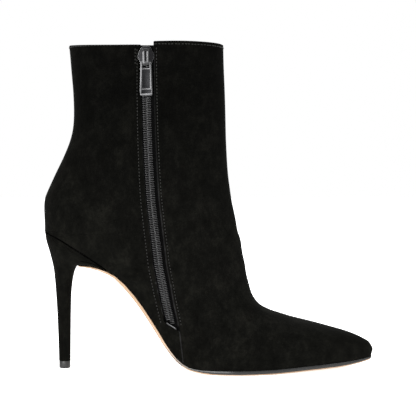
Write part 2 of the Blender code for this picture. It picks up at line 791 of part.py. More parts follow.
def zip_stop():
    """The clamp that ends the coils."""
    lengths = [ZIP_LENGTH - GAP - STOP_LENGTH, ZIP_LENGTH - GAP]
    return strip("zip_stop", lengths, chain_profile, "gunmetal")


def slider_frame():
    """The slider's own axes: across the zip, up it and out of the shoe, with its middle as origin."""
    at = zip_row(SLIDER_TOP_INSET + SLIDER_LENGTH / 2)
    reach = SLIDER_LENGTH / 2
    length = float(np.interp(at, ZIP_ROWS, ZIP_LENGTHS))
    middle = Vector(beside_zip(at, 0))
    up = Vector(beside_zip(zip_row(length - reach), 0)) - Vector(beside_zip(zip_row(length + reach), 0))
    up.normalize()
    across = Vector(beside_zip(at, SLIDER_HALF)) - Vector(beside_zip(at, -SLIDER_HALF))
    across = (across - up * across.dot(up)).normalized()
    out = across.cross(up).normalized()
    frame = Matrix((across, up, out)).transposed().to_4x4()
    frame.translation = middle
    return frame


def prism(name, outline, low, high, finish):
    """A flat outline, given thickness along its third axis. outline holds (across, down) points."""
    rings = [[Vector((a, -d, n)) for a, d in outline] for n in (low, high)]
    return add_object(name, *loft(rings), finish, smooth=False)


def combine(target, other, operation):
    """Cut or join two meshes and remove the second one."""
    change = target.modifiers.new(operation.lower(), "BOOLEAN")
    change.operation = operation
    change.solver = "EXACT"
    change.object = other
    with bpy.context.temp_override(object=target, active_object=target):
        bpy.ops.object.modifier_apply(modifier=change.name)
    bpy.data.objects.remove(other, do_unlink=True)


def slider_outline():
    """The slider plate's edge, as (across, down) points."""
    half = SLIDER_LENGTH / 2
    places = np.linspace(0, len(SLIDER_SHAPE) - 1, 2 * len(SLIDER_SHAPE) - 1)
    side = [smooth_rows(np.array(SLIDER_SHAPE), at) for at in places]
    right = [(width * SLIDER_HALF, down * half) for down, width in side]
    return right + [(-a, d) for a, d in reversed(right)]


def zip_slider(frame):
    """The slider's plate with its bridge, a strip bent over the pull's bar."""
    top = SLIDER_LIFT + SLIDER_THICK
    plate = prism("zip_slider", slider_outline(), SLIDER_LIFT, top, "gunmetal")
    under = top + BRIDGE_CLEAR
    over = under + BRIDGE_STRIP
    sunk = top - SLIDER_THICK / 2
    start, foot = -BRIDGE_TOP, BRIDGE_FOOT
    bend = BRIDGE_STRIP
    side_view = (
        (start, sunk), (start + bend, sunk), (start + 2.2 * bend, under - 0.3 * bend),
        (start + 3 * bend, under), (foot - 1.8 * bend, under), (foot - bend, under - 0.8 * bend),
        (foot - bend, sunk), (foot, sunk), (foot, under - 0.2 * bend), (foot - 0.9 * bend, over),
        (start + 2.6 * bend, over), (start + 1.1 * bend, under),
    )
    rings = [
        [Vector((a, -d, n)) for d, n in side_view] for a in (BRIDGE_WIDTH / 2, -BRIDGE_WIDTH / 2)
    ]
    bridge = add_object("bridge", *loft(rings), "gunmetal", smooth=False)
    half = BRIDGE_SLOT / 2
    opening = (start + 2 * bend, foot - 2 * bend)
    slot = box("slot", (-half, half), opening, (top + BRIDGE_CLEAR / 2, over + bend))
    combine(bridge, slot, "DIFFERENCE")
    combine(plate, bridge, "UNION")
    plate.matrix_world = frame
    return plate


def box(name, across, down, out):
    """A straight cutter in the slider's axes. Each argument is a pair of limits."""
    (left, right), (top, bottom) = across, down
    outline = [(left, top), (right, top), (right, bottom), (left, bottom)]
    return prism(name, outline, *out, "gunmetal")


def zip_pull(frame):
    """The pull tab, hanging from its bar. Its origin is on the hinge axis."""
    top, bottom = -PULL_BAR / 2, PULL_LENGTH - PULL_BAR / 2
    corner = PULL_RIM
    right = [
        (PULL_NECK_HALF - corner, top), (PULL_NECK_HALF, top + corner),
        (PULL_HALF, bottom - 3 * corner), (PULL_HALF - corner * 0.25, bottom - corner * 0.3),
        (PULL_HALF - corner, bottom),
    ]
    outline = right + [(-a, d) for a, d in reversed(right)]
    half = PULL_THICK / 2
    tab = prism("zip_pull", outline, -half, half, "gunmetal")
    beyond = 2 * PULL_THICK
    eye_end = PULL_BAR / 2 + PULL_EYE
    through = (-beyond, beyond)
    eye = box("eye", (-PULL_EYE_HALF, PULL_EYE_HALF), (PULL_BAR / 2, eye_end), through)
    combine(tab, eye, "DIFFERENCE")
    panel = eye_end + PULL_EYE_BAR
    panel_2 = panel + PULL_PANEL + PULL_RIM
    narrow, wide = PULL_NECK_HALF - PULL_RIM, PULL_HALF - PULL_RIM
    for depth in ((half - PULL_RECESS, beyond), (-beyond, PULL_RECESS - half)):
        for reach, start, long in ((narrow, panel, PULL_PANEL), (wide, panel_2, PULL_PANEL_2)):
            cutter = box("panel", (-reach, reach), (start, start + long), depth)
            combine(tab, cutter, "DIFFERENCE")
    hinge = Matrix.Translation(Vector((0, -HINGE_DOWN, SLIDER_LIFT + SLIDER_THICK + BRIDGE_CLEAR / 2)))
    tab.matrix_world = frame @ hinge
    return tab


PARTS = bpy.data.collections.new("stiletto_ankle_bootie")


def main():
    clear_scene()
    bpy.context.scene.collection.children.link(PARTS)
    upper()
    outsole()
    insole()
    heel()
    top_lift()
    zip_tape()
    zip_chain()
    zip_stop()
    frame = slider_frame()
    zip_slider(frame)
    pull = zip_pull(frame)
    print("hinge at", [round(v, 6) for v in pull.matrix_world.translation])
    print("hinge axis", [round(v, 6) for v in frame.col[0][:3]])


main()
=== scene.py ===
# %% [markdown]
# # A stiletto ankle bootie in black suede
#
# This lesson dresses one left bootie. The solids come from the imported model, so every size is
# already right: a hollow upper, a thin sole, a covered heel and a zip. What is left is what the
# hand and eye notice. There is the nap of the suede, the folded edges, the painted sole edge,
# the coils of the zip and the dark plated metal of its slider.
#
# Everything is in metres. +X points to the toe, +Y to the outer side of the foot and +Z up. The
# heel's tip stands on the origin.

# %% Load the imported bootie
import math

import bmesh
import bpy
import numpy as np
from mathutils import Matrix, Vector, noise
from mathutils.bvhtree import BVHTree


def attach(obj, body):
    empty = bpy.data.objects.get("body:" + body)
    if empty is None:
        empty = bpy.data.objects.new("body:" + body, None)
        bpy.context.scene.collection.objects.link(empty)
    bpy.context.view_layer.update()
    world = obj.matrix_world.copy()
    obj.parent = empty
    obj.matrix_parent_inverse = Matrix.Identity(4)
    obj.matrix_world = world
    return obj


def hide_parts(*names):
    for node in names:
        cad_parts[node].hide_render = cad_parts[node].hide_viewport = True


MM = 0.001

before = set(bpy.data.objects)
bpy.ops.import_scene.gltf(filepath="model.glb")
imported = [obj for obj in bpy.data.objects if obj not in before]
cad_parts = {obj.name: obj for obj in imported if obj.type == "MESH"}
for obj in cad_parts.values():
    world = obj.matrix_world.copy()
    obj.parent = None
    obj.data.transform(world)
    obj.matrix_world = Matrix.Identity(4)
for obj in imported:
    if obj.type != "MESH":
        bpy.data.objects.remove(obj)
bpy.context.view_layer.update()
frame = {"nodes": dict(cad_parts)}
print("solids:", ", ".join(frame["nodes"]))

# %% [markdown]
# ## Camera
#
# The photograph is a catalogue side view. Verticals stay upright and the far side of the collar
# is just hidden, so the camera stood back, a little above the middle of the shoe, and looked
# down by two degrees. A lens of about 108 mm at 0.9 m gives the same proportions, and one pixel
# is then 0.72 mm at the shoe.

# %% Camera
PICTURE_SIZE = 416
MM_PER_PIXEL = 0.72
CAMERA_PLACE = Vector((103.6, -900.0, 150.0)) * MM
CAMERA_AIM = Vector((103.6, 0.0, 115.4)) * MM
SENSOR = 36.0

camera_data = bpy.data.cameras.new("photo_camera")
camera = bpy.data.objects.new("photo_camera", camera_data)
bpy.context.scene.collection.objects.link(camera)
sight = CAMERA_AIM - CAMERA_PLACE
camera.location = CAMERA_PLACE
camera.rotation_euler = sight.to_track_quat("-Z", "Y").to_euler()
camera_data.sensor_width = SENSOR
camera_data.lens = sight.length / (MM_PER_PIXEL * MM) * SENSOR / PICTURE_SIZE
camera_data.clip_start = 0.01
bpy.context.scene.camera = camera
print("lens", round(camera_data.lens, 1), "mm")

# %% [markdown]
# ## Floor and light
#
# The bootie stands on white with almost no shadow. A white floor that glows a little, under a
# bright and even sky, does that. Three large soft lamps then shape suede and metal: two in
# front, one behind.

# %% Floor and light
world = bpy.data.worlds.new("studio")
bpy.context.scene.world = world
world.use_nodes = True
sky = world.node_tree.nodes["Background"]
sky.inputs["Color"].default_value = (1.0, 1.0, 1.0, 1.0)
sky.inputs["Strength"].default_value = 1.0
bpy.context.scene.view_settings.view_transform = "Standard"


def soft_lamp(name, place, aim, size, watts):
    """A square area lamp that looks at a point."""
    data = bpy.data.lights.new(name, "AREA")
    data.size = size
    data.energy = watts
    lamp = bpy.data.objects.new(name, data)
    bpy.context.scene.collection.objects.link(lamp)
    lamp.location = place
    lamp.rotation_euler = (Vector(aim) - Vector(place)).to_track_quat("-Z", "Y").to_euler()
    return lamp


# name, place, aim, side in m, watts
LAMPS = (
    ("front_lamp", (-0.40, -1.1, 0.30), (0.10, 0, 0.03), 0.8, 21),
    ("side_lamp", (1.2, -0.6, 0.7), (0.1, 0, 0.1), 0.6, 10),
    ("back_lamp", (0.1, 1.2, 1.2), (0.1, 0, 0.12), 1.0, 16),
)
for lamp_row in LAMPS:
    soft_lamp(*lamp_row)

FLOOR_SIDE = 8.0
FLOOR_PLACE = (0.1, 0.0, -0.0002)
FLOOR_WHITE = (0.93, 0.93, 0.93, 1.0)
FLOOR_GLOW = 0.75

bpy.ops.mesh.primitive_plane_add(size=FLOOR_SIDE, location=FLOOR_PLACE)
floor = bpy.context.active_object
floor.name = "studio_floor"
bpy.ops.object.transform_apply(location=True, rotation=True, scale=True)
floor_paint = bpy.data.materials.new("white_floor")
floor_paint.use_nodes = True
floor_shader = floor_paint.node_tree.nodes["Principled BSDF"]
floor_shader.inputs["Base Color"].default_value = FLOOR_WHITE
floor_shader.inputs["Roughness"].default_value = 0.9
floor_shader.inputs["Specular IOR Level"].default_value = 0.0
floor_shader.inputs["Emission Color"].default_value = (1.0, 1.0, 1.0, 1.0)
floor_shader.inputs["Emission Strength"].default_value = FLOOR_GLOW
floor.data.materials.append(floor_paint)
print("lamps:", ", ".join(lamp_row[0] for lamp_row in LAMPS))

# %% [markdown]
# ## Small tools for every piece
#
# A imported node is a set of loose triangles. A piece that needs a fine surface starts as a copy
# whose corners are merged, and the copy then takes bevels or subdivision like any mesh.
# Operators act on whatever is selected, so one helper selects exactly one object first.

# %% Selecting, copying and rounding
MERGE_WITHIN = 0.01 * MM
QUAD_TURN = math.radians(35)
QUAD_SKEW = math.radians(50)
HOLD_PASSES = 3
HOLD_SHARE = 0.8


def select_only(piece):
    """Make one object the only selected one."""
    for other in list(bpy.context.selected_objects):
        other.select_set(False)
    piece.select_set(True)
    bpy.context.view_layer.objects.active = piece


def merged_copy(node, name):
    """A piece that starts as a node's mesh, with its loose triangles joined into quads."""
    mesh = frame["nodes"][node].data.copy()
    mesh.name = name
    mesh.materials.clear()
    piece = bpy.data.objects.new(name, mesh)
    bpy.context.scene.collection.objects.link(piece)
    select_only(piece)
    bpy.ops.object.mode_set(mode="EDIT")
    bpy.ops.mesh.select_all(action="SELECT")
    bpy.ops.mesh.remove_doubles(threshold=MERGE_WITHIN)
    bpy.ops.mesh.customdata_custom_splitnormals_clear()
    bpy.ops.mesh.tris_convert_to_quads(face_threshold=QUAD_TURN, shape_threshold=QUAD_SKEW)
    bpy.ops.mesh.select_all(action="DESELECT")
    bpy.ops.object.mode_set(mode="OBJECT")
    return piece


def apply_all(piece):
    """Apply the piece's modifiers, the first one first."""
    select_only(piece)
    for modifier in list(piece.modifiers):
        bpy.ops.object.modifier_apply(modifier=modifier.name)


def round_edges(piece, width, segments=2, angle=30, finish=-1):
    """Bevel every edge that turns more than the angle. finish is the slot of the new faces."""
    bevel = piece.modifiers.new("round_edges", "BEVEL")
    bevel.width = width
    bevel.segments = segments
    bevel.limit_method = "ANGLE"
    bevel.angle_limit = math.radians(angle)
    bevel.use_clamp_overlap = True
    bevel.material = finish
    apply_all(piece)


def smooth_shading(piece, angle=35):
    """Shade smooth, but keep every edge that turns more than the angle."""
    select_only(piece)
    bpy.ops.object.shade_smooth_by_angle(angle=math.radians(angle))


def soften(piece, rim_angle, rim_crease, levels):
    """Subdivide a merged copy. Edges that turn more than the angle keep part of their sharpness.
    A subdivided skin shrinks, so the copy's corners first move out by as much as they will move
    in."""
    work = bmesh.new()
    work.from_mesh(piece.data)
    layers = work.edges.layers.float
    crease = layers.get("crease_edge") or layers.new("crease_edge")
    for edge in work.edges:
        if len(edge.link_faces) == 2 and edge.calc_face_angle(0.0) > math.radians(rim_angle):
            edge[crease] = rim_crease
    work.to_mesh(piece.data)
    work.free()
    rounder = piece.modifiers.new("soften", "SUBSURF")
    rounder.levels = rounder.render_levels = levels
    wanted = np.array([tuple(vertex.co) for vertex in piece.data.vertices])
    corners = wanted.copy()
    for _ in range(HOLD_PASSES):
        viewed = piece.evaluated_get(bpy.context.evaluated_depsgraph_get())
        fine = viewed.to_mesh()
        settled = np.array([tuple(vertex.co) for vertex in fine.vertices[: len(wanted)]])
        viewed.to_mesh_clear()
        corners += HOLD_SHARE * (wanted - settled)
        piece.data.vertices.foreach_set("co", corners.ravel())
        piece.data.update()
    apply_all(piece)


# %% [markdown]
# ## Materials
#
# Each finish is a small network on Object coordinates. Suede is a black, fully rough skin with
# a soft sheen. Its nap lies this way and that, so broad cloudy patches change the colour a
# little, and a fine bump gives the fibres. All numbers that are the same everywhere sit on the
# shader's own sockets.

# %% Helpers for materials
EVEN = (1.0, 1.0, 1.0)
NOISE = "ShaderNodeTexNoise"
CELLS = "ShaderNodeTexVoronoi"


def new_finish(name, colour, roughness, metallic=0.0, **sockets):
    """A Principled material. Extra sockets are given by name, with _ for each space."""
    made = bpy.data.materials.new(name)
    made.use_nodes = True
    shader = made.node_tree.nodes["Principled BSDF"]
    shader.inputs["Base Color"].default_value = (*colour, 1.0)
    shader.inputs["Roughness"].default_value = roughness
    shader.inputs["Metallic"].default_value = metallic
    for socket, value in sockets.items():
        shader.inputs[socket.replace("_", " ")].default_value = value
    return made


def pattern(material, scale, detail=2.0, stretch=EVEN, kind=NOISE):
    """A procedural pattern on Object coordinates. scale is in repeats a metre."""
    nodes, links = material.node_tree.nodes, material.node_tree.links
    place = nodes.new("ShaderNodeTexCoord")
    mapping = nodes.new("ShaderNodeMapping")
    mapping.inputs["Scale"].default_value = stretch
    texture = nodes.new(kind)
    texture.inputs["Scale"].default_value = scale
    if "Detail" in texture.inputs:
        texture.inputs["Detail"].default_value = detail
    links.new(place.outputs["Object"], mapping.inputs["Vector"])
    links.new(mapping.outputs["Vector"], texture.inputs["Vector"])
    return texture


def colours_from(material, value, stops):
    """Send a pattern through a colour ramp. stops are (position, colour)."""
    ramp = material.node_tree.nodes.new("ShaderNodeValToRGB")
    first, last = ramp.color_ramp.elements
    first.position, first.color = stops[0][0], (*stops[0][1], 1)
    last.position, last.color = stops[-1][0], (*stops[-1][1], 1)
    for position, colour in stops[1:-1]:
        ramp.color_ramp.elements.new(position).color = (*colour, 1)
    material.node_tree.links.new(value, ramp.inputs["Fac"])
    return ramp.outputs["Color"]


def to_range(material, value, low, high, from_low=0.3, from_high=0.7):
    """Spread a pattern's values over a new range."""
    spread = material.node_tree.nodes.new("ShaderNodeMapRange")
    spread.inputs["From Min"].default_value = from_low
    spread.inputs["From Max"].default_value = from_high
    spread.inputs["To Min"].default_value = low
    spread.inputs["To Max"].default_value = high
    material.node_tree.links.new(value, spread.inputs["Value"])
    return spread.outputs["Result"]


def bump(material, value, strength, distance):
    """Add a bump to the material's normal, on top of any bump it has."""
    nodes, links = material.node_tree.nodes, material.node_tree.links
    shader = nodes["Principled BSDF"]
    relief = nodes.new("ShaderNodeBump")
    relief.inputs["Strength"].default_value = strength
    relief.inputs["Distance"].default_value = distance
    links.new(value, relief.inputs["Height"])
    if shader.inputs["Normal"].is_linked:
        links.new(shader.inputs["Normal"].links[0].from_socket, relief.inputs["Normal"])
    links.new(relief.outputs["Normal"], shader.inputs["Normal"])


def drive(material, value, socket):
    """Let a value run one of the shader's sockets."""
    shader = material.node_tree.nodes["Principled BSDF"]
    material.node_tree.links.new(value, shader.inputs[socket])


def along_axis(material, axis):
    """The Object coordinate along one axis, in metres."""
    nodes, links = material.node_tree.nodes, material.node_tree.links
    split = nodes.new("ShaderNodeSeparateXYZ")
    links.new(nodes.new("ShaderNodeTexCoord").outputs["Object"], split.inputs["Vector"])
    return split.outputs[axis]


def vary_roughness(material, scale, low, high, detail=2.0, stretch=EVEN):
    """Let the roughness wander between two values."""
    texture = pattern(material, scale, detail, stretch)
    drive(material, to_range(material, texture.outputs["Fac"], low, high), "Roughness")


def grain(material, scale, strength, depth, detail=2.0, stretch=EVEN, kind=NOISE):
    """Raise a fine pattern as a bump. scale is in repeats a metre and depth in m."""
    texture = pattern(material, scale, detail, stretch, kind)
    bump(material, texture.outputs["Distance" if kind == CELLS else "Fac"], strength, depth)


# %% [markdown]
# ## Suede, lining and leather
#
# The clouds of the suede run through three near blacks. The ink on the sole's edge is a second
# ramp, run by the distance from the heel. The lining, the sock and the rubber tip differ in
# little more than their grain and gloss.

# %% Suede, lining and leather
# place in the pattern, and the colour there
SUEDE_COLOURS = (
    (0.33, (0.0006, 0.0006, 0.0005)),
    (0.50, (0.0017, 0.0017, 0.0014)),
    (0.68, (0.0046, 0.0045, 0.0036)),
)
TAN = (0.30, 0.20, 0.125)
INK = (0.006, 0.006, 0.006)
LEATHER_COLOURS = ((0.30, (0.25, 0.165, 0.100)), (0.70, (0.35, 0.235, 0.150)))
INK_COLOURS = ((0.0, TAN), (0.55, (0.060, 0.040, 0.027)), (1.0, INK))
CLOUD_SCALE = 90.0
CLOUD_DETAIL = 12.0
CLOUD_ROUGHNESS = 0.86
CLOUD_STRETCH = (1.0, 1.0, 0.8)
# painted light and shade: the suede is painted lighter low on the foot and darker up the shaft, as
# the light falls
PAINTED_LIGHT_BY_HEIGHT = (1.35, 0.60)
PAINTED_LIGHT_HEIGHTS = (90.0 * MM, 190.0 * MM)
INK_START = 72.0 * MM
INK_FULL = 94.0 * MM

suede = new_finish(
    "black_suede", (0.004, 0.004, 0.0036), 0.95, Specular_IOR_Level=0.015,
    Sheen_Weight=0.012, Sheen_Roughness=0.45, Sheen_Tint=(0.50, 0.50, 0.44, 1.0),
)
clouds = pattern(suede, CLOUD_SCALE, CLOUD_DETAIL, CLOUD_STRETCH)
clouds.inputs["Roughness"].default_value = CLOUD_ROUGHNESS
cloud_colour = colours_from(suede, clouds.outputs["Fac"], SUEDE_COLOURS)
# painted light: the clouds' colour is multiplied by a painted shade that darkens with height
painted_height_light = to_range(suede, along_axis(suede, "Z"), *PAINTED_LIGHT_BY_HEIGHT, *PAINTED_LIGHT_HEIGHTS)
painted_light_mix = suede.node_tree.nodes.new("ShaderNodeMixRGB")
painted_light_mix.blend_type = "MULTIPLY"
painted_light_mix.inputs["Fac"].default_value = 1.0
suede.node_tree.links.new(cloud_colour, painted_light_mix.inputs["Color1"])
suede.node_tree.links.new(painted_height_light, painted_light_mix.inputs["Color2"])
drive(suede, painted_light_mix.outputs["Color"], "Base Color")
grain(suede, 2600.0, 0.55, 0.10 * MM)
grain(suede, 420.0, 0.35, 0.22 * MM, detail=3.0)

lining = new_finish("black_lining", (0.020, 0.019, 0.018), 0.55, Specular_IOR_Level=0.35)
vary_roughness(lining, 90.0, 0.46, 0.66)
grain(lining, 1500.0, 0.30, 0.12 * MM, kind=CELLS)

sole_leather = new_finish("tan_sole_leather", TAN, 0.55, Specular_IOR_Level=0.4)
hide = pattern(sole_leather, 55.0, 4.0, (0.5, 1.4, 1.0))
hide_colour = colours_from(sole_leather, hide.outputs["Fac"], LEATHER_COLOURS)
drive(sole_leather, hide_colour, "Base Color")
grain(sole_leather, 1800.0, 0.25, 0.08 * MM, detail=3.0, stretch=(0.35, 1.0, 1.0))

edge_paint = new_finish(
    "black_edge_paint", INK, 0.26, Specular_IOR_Level=0.32, Coat_Weight=0.12, Coat_Roughness=0.12
)
ink_share = to_range(edge_paint, along_axis(edge_paint, "X"), 0.0, 1.0, INK_START, INK_FULL)
drive(edge_paint, colours_from(edge_paint, ink_share, INK_COLOURS), "Base Color")
vary_roughness(edge_paint, 160.0, 0.20, 0.36)
grain(edge_paint, 700.0, 0.20, 0.06 * MM, stretch=(0.3, 1.0, 1.0))

sock_leather = new_finish(
    "black_sock_leather", (0.026, 0.025, 0.024), 0.50, Specular_IOR_Level=0.4
)
vary_roughness(sock_leather, 60.0, 0.42, 0.60)
grain(sock_leather, 900.0, 0.35, 0.15 * MM, kind=CELLS)

tip_rubber = new_finish("black_tip_rubber", (0.010, 0.010, 0.010), 0.42, Specular_IOR_Level=0.28)
vary_roughness(tip_rubber, 500.0, 0.34, 0.52)
grain(tip_rubber, 1500.0, 0.2, 0.05 * MM)
print("finishes so far:", len(bpy.data.materials))

# %% [markdown]
# ## Metal, tape, coils and thread
#
# The slider and pull have three metals: the plating, a painted shade for the recesses and a painted
# highlight for the edges. The nylon of the coils is glossy, the thread is not. The needle's holes
# are painted shade, a black that reflects nothing at all.

# %% Metal, tape, coils and thread
TAPE_COLOURS = ((0.0, (0.0035, 0.0035, 0.0035)), (0.8, (0.0008, 0.0008, 0.0008)))

gunmetal = new_finish("dark_plated_metal", (0.048, 0.048, 0.049), 0.28, metallic=1.0)
vary_roughness(gunmetal, 900.0, 0.18, 0.34, detail=3.0, stretch=(1.0, 1.0, 0.12))
grain(gunmetal, 2500.0, 0.12, 0.03 * MM, stretch=(1.0, 1.0, 0.08))

# painted shade: a darker metal for the recesses of slider and pull
recess_shade_metal = new_finish("metal_recess_painted_shade", (0.010, 0.010, 0.0105), 0.40, metallic=1.0)
vary_roughness(recess_shade_metal, 1400.0, 0.30, 0.48, detail=3.0)

# painted highlight: a brighter metal for the bevelled edges of slider and pull
edge_highlight_metal = new_finish("metal_edge_painted_highlight", (0.18, 0.18, 0.18), 0.22, metallic=1.0)
vary_roughness(edge_highlight_metal, 1200.0, 0.16, 0.30)

tape_cloth = new_finish("woven_black_tape", (0.002, 0.002, 0.002), 0.9, Specular_IOR_Level=0.05)
weave = pattern(tape_cloth, 1900.0, stretch=(1.0, 0.2, 1.0), kind=CELLS).outputs["Distance"]
bump(tape_cloth, weave, 0.8, 0.25 * MM)
drive(tape_cloth, colours_from(tape_cloth, weave, TAPE_COLOURS), "Base Color")

coil_nylon = new_finish(
    "black_coil_nylon", (0.006, 0.006, 0.0065), 0.26, Specular_IOR_Level=0.80
)
vary_roughness(coil_nylon, 800.0, 0.24, 0.40)

thread = new_finish(
    "black_thread", (0.006, 0.006, 0.005), 0.45, Specular_IOR_Level=0.17,
    Sheen_Weight=0.02, Sheen_Roughness=0.35,
)
vary_roughness(thread, 3000.0, 0.38, 0.60)
grain(thread, 4200.0, 0.4, 0.06 * MM, detail=1.0)

# painted shade: a flat black for the needle holes, the seat's seam and the heel's fold line
painted_shade = new_finish(
    "painted_shade_black", (0.0008, 0.0008, 0.0008), 1.0, Specular_IOR_Level=0.0
)
print("finishes:", len(bpy.data.materials))

# %% [markdown]
# ## The upper
#
# The upper is one skin over the last, about 1.8 mm thick with its stiffening and lining. The
# node already has the true shape, so the piece starts as its copy. Two subdivisions take away
# the facets. The folded edges at the collar and along the zip keep a part of their sharpness,
# as folded suede does. The faces on the inside become lining. A walk over the skin from the
# vamp that stops at every sharp edge gives the outside, and a second walk from a spot on the
# lining gives the inside. What neither walk reaches is the folded rim.

# %% Tell the outside from the inside
RIM_ANGLE = 50
RIM_SHARPNESS = 0.55
SKIN_LEVELS = 2
VAMP_FROM = 160.0 * MM
LINING_SPOT = Vector((0.060, 0.027, 0.180))
# shares of a face's normal
LOOKS_UP = 0.3
UPRIGHT = 0.4
LOOKS_IN = -0.5
OUTSIDE, INSIDE, RIM = 0, 1, 2

upper = merged_copy("upper", "suede_upper")


def connected_skin(first, turn_limit):
    """All faces that can be reached from one face without crossing a sharp edge."""
    reached = {first}
    waiting = [first]
    while waiting:
        for edge in waiting.pop().edges:
            if edge.calc_face_angle(0.0) < turn_limit:
                for face in edge.link_faces:
                    if face not in reached:
                        reached.add(face)
                        waiting.append(face)
    return reached


skin = bmesh.new()
skin.from_mesh(upper.data)
vamp_faces = [
    face for face in skin.faces
    if face.calc_center_median().x > VAMP_FROM and face.normal.z > LOOKS_UP
]
vamp_face = max(vamp_faces, key=lambda face: face.calc_center_median().z)
outside = connected_skin(vamp_face, math.radians(RIM_ANGLE))
lining_faces = [
    face for face in skin.faces
    if face not in outside and abs(face.normal.z) < UPRIGHT and face.normal.y < LOOKS_IN
]
lining_face = min(
    lining_faces, key=lambda face: (face.calc_center_median() - LINING_SPOT).length
)
inside = connected_skin(lining_face, math.radians(RIM_ANGLE))
for face in skin.faces:
    face.material_index = OUTSIDE if face in outside else INSIDE if face in inside else RIM
print("outside", len(outside), "inside", len(inside), "of", len(skin.faces))
skin.to_mesh(upper.data)
skin.free()
for finish in (suede, lining, suede):
    upper.data.materials.append(finish)
soften(upper, RIM_ANGLE, RIM_SHARPNESS, SKIN_LEVELS)
print("upper has", len(upper.data.polygons), "faces")

# %% [markdown]
# ## Creases
#
# New suede still bends a little where the foot flexes. The creases are soft troughs and ridges,
# each drawn as a short line in the side view, and each fades at its ends. A slow waver keeps
# the rest from being too even. The outer skin alone moves, along its own normal and by less
# than a millimetre.

# %% Draw the creases
# x and z along the line in mm, depth in mm (negative is a trough), half width in mm
CREASES = (
    (((134, 108), (124, 98), (112, 92)), -0.55, 5.0),
    (((131, 98), (120, 90), (108, 86)), 0.40, 4.5),
    (((137, 88), (126, 80), (112, 77)), -0.50, 5.5),
    (((141, 73), (130, 68), (118, 68)), -0.40, 5.0),
    (((150, 52), (140, 44), (134, 34)), -0.45, 5.5),
    (((160, 44), (151, 36), (146, 26)), 0.30, 5.0),
    (((168, 40), (160, 31), (156, 22)), -0.30, 4.5),
    (((4, 138), (16, 132), (30, 131)), -0.45, 5.5),
    (((-4, 124), (8, 120), (22, 121)), 0.35, 5.0),
)
FADE_START = 0.12
FADE_SPAN = 0.76
FADE_POWER = 1.5
WAVER = 0.22
WAVER_SCALE = 34.0


def distance_to_line(points, line):
    """Distance from each point to a bent line, and how far along it the nearest spot is, 0 to 1."""
    best = np.full(len(points), np.inf)
    place = np.zeros(len(points))
    steps = len(line) - 1
    for i in range(steps):
        start = np.array(line[i], float)
        run = np.array(line[i + 1], float) - start
        along = np.clip(((points - start) @ run) / (run @ run), 0, 1)
        gap = np.linalg.norm(points - start - along[:, None] * run, axis=1)
        nearer = gap < best
        best = np.where(nearer, gap, best)
        place = np.where(nearer, (i + along) / steps, place)
    return best, place


def arrays_of(mesh):
    """Vertex places and normals as arrays."""
    count = len(mesh.vertices)
    places, normals = np.empty(count * 3), np.empty(count * 3)
    mesh.vertices.foreach_get("co", places)
    mesh.vertices.foreach_get("normal", normals)
    return places.reshape(-1, 3), normals.reshape(-1, 3)


def crease_upper(mesh):
    """Press the creases and the waver into the outer skin."""
    places, normals = arrays_of(mesh)
    on_outside = np.ones(len(places), bool)
    for polygon in mesh.polygons:
        if polygon.material_index != OUTSIDE:
            on_outside[list(polygon.vertices)] = False
    side_view = places[:, [0, 2]] / MM
    lift = np.zeros(len(places))
    for line, depth, half_width in CREASES:
        gap, along = distance_to_line(side_view, line)
        fade = np.sin(np.pi * np.clip(FADE_START + FADE_SPAN * along, 0, 1)) ** FADE_POWER
        lift += depth * fade * np.exp(-((gap / half_width) ** 2))
    lift += WAVER * np.array([noise.noise(Vector(p) * WAVER_SCALE) for p in places])
    lift *= on_outside
    moved = places + normals * (lift * MM)[:, None]
    mesh.vertices.foreach_set("co", moved.ravel())
    mesh.update()
    print("deepest", round(float(lift.min()), 2), "highest", round(float(lift.max()), 2), "mm")


crease_upper(upper.data)
smooth_shading(upper, angle=55)
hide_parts("upper")
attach(upper, "boot")

# %% [markdown]
# ## Heel
#
# The heel is a hard core with suede stretched over it. Its copy is subdivided so that the thin
# stem is round. Its seat sinks a little first, because the suede is drawn in there and leaves a
# dark line under the upper.

# %% Heel
SEAM_OPEN = 0.45 * MM
SEAT_UP = 0.5

heel = merged_copy("heel", "covered_heel")
heel.data.materials.append(suede)
seat_faces = [face for face in heel.data.polygons if face.normal.z > SEAT_UP]
seat = {index for face in seat_faces for index in face.vertices}
for index in seat:
    heel.data.vertices[index].co.z -= SEAM_OPEN
soften(heel, rim_angle=40, rim_crease=0.8, levels=2)
smooth_shading(heel, angle=45)
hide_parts("heel")
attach(heel, "boot")
print("heel", len(heel.data.polygons), "faces")

# %% [markdown]
# ## Filling the seat
#
# Between the heel's seat and the sole of the foot lies a thin bed of glue and board. It stops the
# light, and its flat black is painted shade for the seam's dark line. The heel's own seat faces are
# copied and drawn in a little, less at the very back, where light would slip past.

# %% Seat filler
FILLER_SHARE = 0.93
FILLER_BACK = 0.5 * MM
FILLER_HIGH = 1.5 * MM


